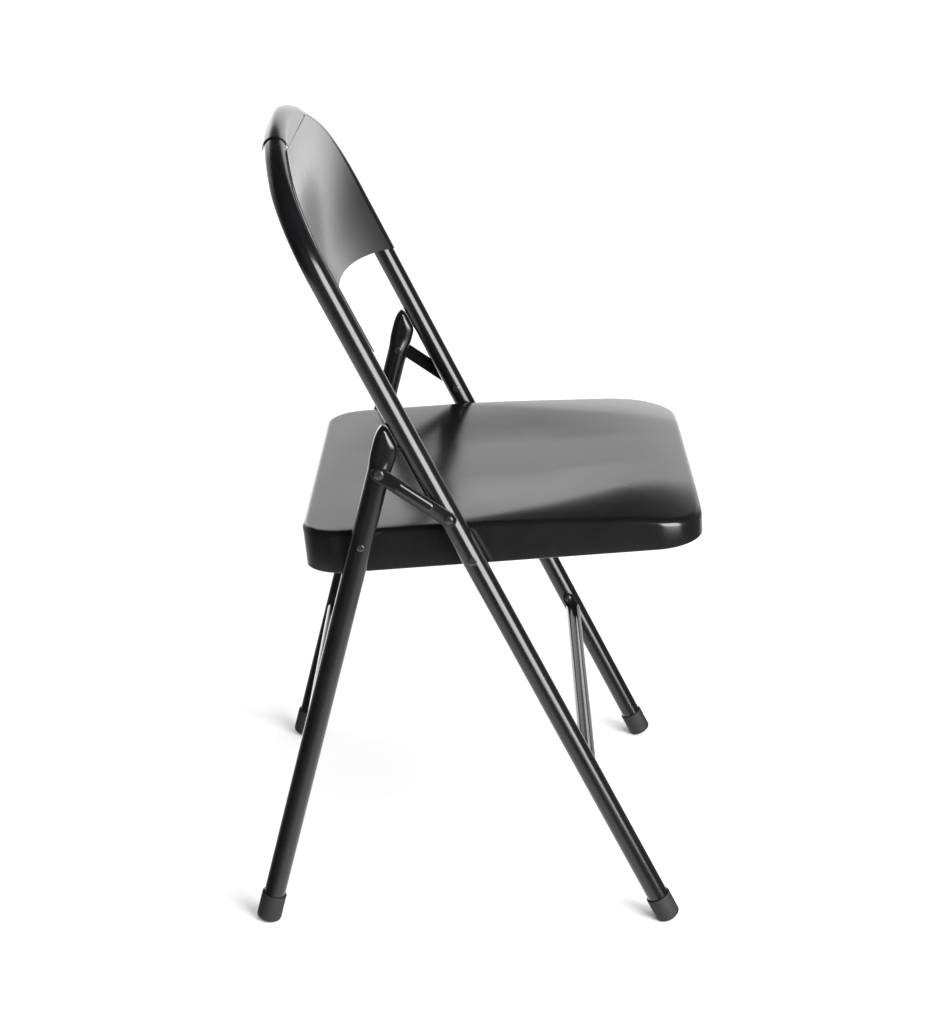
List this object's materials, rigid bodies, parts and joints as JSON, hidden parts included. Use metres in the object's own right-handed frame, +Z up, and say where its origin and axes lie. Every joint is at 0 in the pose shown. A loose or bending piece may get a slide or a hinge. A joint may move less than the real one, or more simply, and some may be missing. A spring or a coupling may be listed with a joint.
{
  "type": "folding chair",
  "caption": "Black steel folding chair with a dished sheet back, a pressed seat pan and tube legs; seat and rear legs fold flat to the front frame.",
  "frame": {"origin": "on the floor, under the middle of the bounding box of the open chair", "axes": "+Z up; X across the chair; the sitter faces -Y, and the left-hand pieces are at +X"},
  "size_m": [0.451, 0.4484, 0.7887],
  "materials": {
    "black_paint": "smooth semi-gloss black powder coat",
    "rivet_steel": "dark glossy rivets",
    "foot_rubber": "matt dark moulded rubber",
    "spacer_nylon": "matt black nylon, assumed: only the gap that it fills is seen"
  },
  "bodies": {
    "front_frame": {"front_frame_tube": "black_paint", "back_panel": "black_paint", "front_crossbar": "black_paint", "front_foot_right": "foot_rubber", "front_foot_left": "foot_rubber", "front_crossbar_rivet_right": "rivet_steel", "front_crossbar_rivet_left": "rivet_steel", "seat_front_rivet_right": "rivet_steel", "seat_front_rivet_left": "rivet_steel", "seat_front_spacer_right": "spacer_nylon", "seat_front_spacer_left": "spacer_nylon", "link_front_rivet_right": "rivet_steel", "link_front_rivet_left": "rivet_steel"},
    "seat": {"seat_pan": "black_paint", "seat_rear_spacer_right": "spacer_nylon", "seat_rear_spacer_left": "spacer_nylon"},
    "rear_frame": {"rear_crossbar": "black_paint", "rear_leg_right": "black_paint", "rear_leg_left": "black_paint", "rear_foot_right": "foot_rubber", "rear_foot_left": "foot_rubber", "rear_crossbar_rivet_right": "rivet_steel", "rear_crossbar_rivet_left": "rivet_steel", "seat_rear_rivet_right": "rivet_steel", "seat_rear_rivet_left": "rivet_steel", "link_rear_tail_right": "rivet_steel", "link_rear_tail_left": "rivet_steel"},
    "link_right": {"link_right": "black_paint", "link_rear_rivet_right": "rivet_steel"},
    "link_left": {"link_left": "black_paint", "link_rear_rivet_left": "rivet_steel"}
  },
  "joints": [
    {"name": "seat_fold", "type": "hinge", "parent": "front_frame", "child": "seat", "pos_m": [0, 0.00182, 0.3984], "axis": [-1, 0, 0], "range_deg": [0, 110.86]},
    {"name": "rear_leg_fold", "type": "hinge", "parent": "seat", "child": "rear_frame", "pos_m": [0, 0.10792, 0.4125], "axis": [1, 0, 0], "range_deg": [0, 69.75]},
    {"name": "link_fold_right", "type": "hinge", "parent": "front_frame", "child": "link_right", "pos_m": [-0.2223, 0.02359, 0.4415], "axis": [-1, 0, 0], "range_deg": [0, 133.31]},
    {"name": "link_fold_left", "type": "hinge", "parent": "front_frame", "child": "link_left", "pos_m": [0.2223, 0.02359, 0.4415], "axis": [-1, 0, 0], "range_deg": [0, 133.31]}
  ],
  "couplings": [
    {"joint": "rear_leg_fold", "follows": "seat_fold", "ratio": 0.62911},
    {"joint": "link_fold_right", "follows": "seat_fold", "ratio": 1.2024},
    {"joint": "link_fold_left", "follows": "seat_fold", "ratio": 1.2024}
  ]
}
